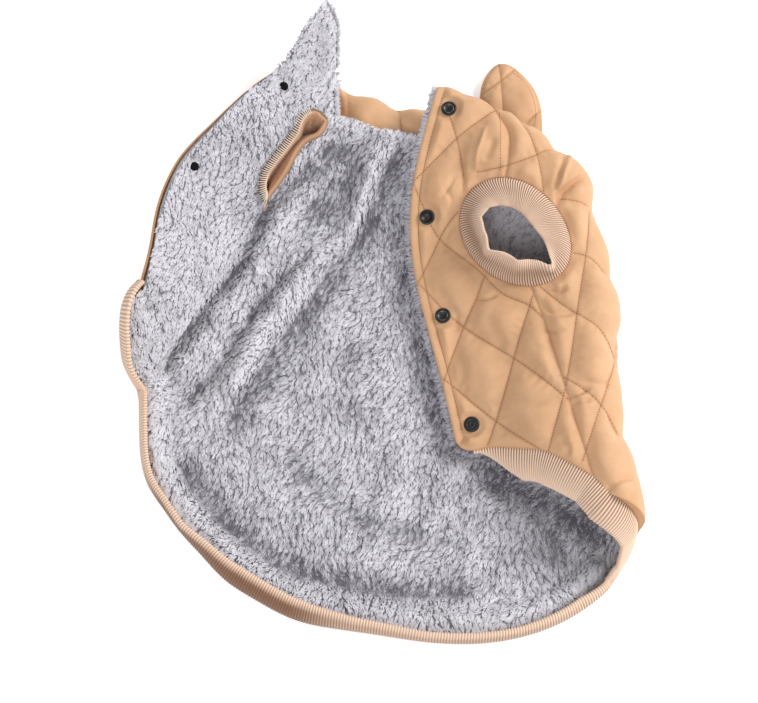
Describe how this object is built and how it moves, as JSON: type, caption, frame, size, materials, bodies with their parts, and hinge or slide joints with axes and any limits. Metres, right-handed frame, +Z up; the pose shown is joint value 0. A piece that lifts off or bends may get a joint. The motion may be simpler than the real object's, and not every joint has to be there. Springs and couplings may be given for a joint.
{
  "type": "dog winter coat",
  "caption": "Quilted dog coat with plush lining, ribbed hem and cuffs, an eared hood and press studs, lying open on its back.",
  "frame": {"origin": "centre of the bounding box in plan, on the surface the coat lies on", "axes": "+X to the coat's right front as seen from above, +Y towards the neck and hood, +Z up off the surface; the lining of the back faces +Z"},
  "size_m": [0.3852, 0.5055, 0.0673],
  "materials": {
    "quilted_shell": "matte woven polyester with a faint sheen, tan",
    "sherpa_plush": "curly pile, pale blue grey",
    "rib_knit": "matte rib knit, peach tan",
    "black_plastic": "black, semi gloss",
    "ring_metal": "worn bright ring"
  },
  "bodies": {
    "root": {"back_shell": "quilted_shell", "front_right_shell": "quilted_shell", "front_left_shell": "quilted_shell", "hood": "quilted_shell", "ear_right": "quilted_shell", "back_lining": "sherpa_plush", "front_right_lining": "sherpa_plush", "front_left_lining": "sherpa_plush", "hem_band_left": "rib_knit", "hem_band_back": "rib_knit", "hem_band_right": "rib_knit", "cuff_right": "rib_knit", "cuff_left": "rib_knit", "stud_cap_1": "black_plastic", "stud_back_1": "black_plastic", "stud_post_1": "black_plastic", "stud_cap_2": "black_plastic", "stud_back_2": "black_plastic", "stud_post_2": "black_plastic", "stud_cap_3": "black_plastic", "stud_back_3": "black_plastic", "stud_post_3": "black_plastic", "stud_cap_4": "black_plastic", "stud_back_4": "black_plastic", "stud_post_4": "black_plastic", "stud_ring_1": "ring_metal", "stud_ring_3": "ring_metal"}
  },
  "joints": []
}
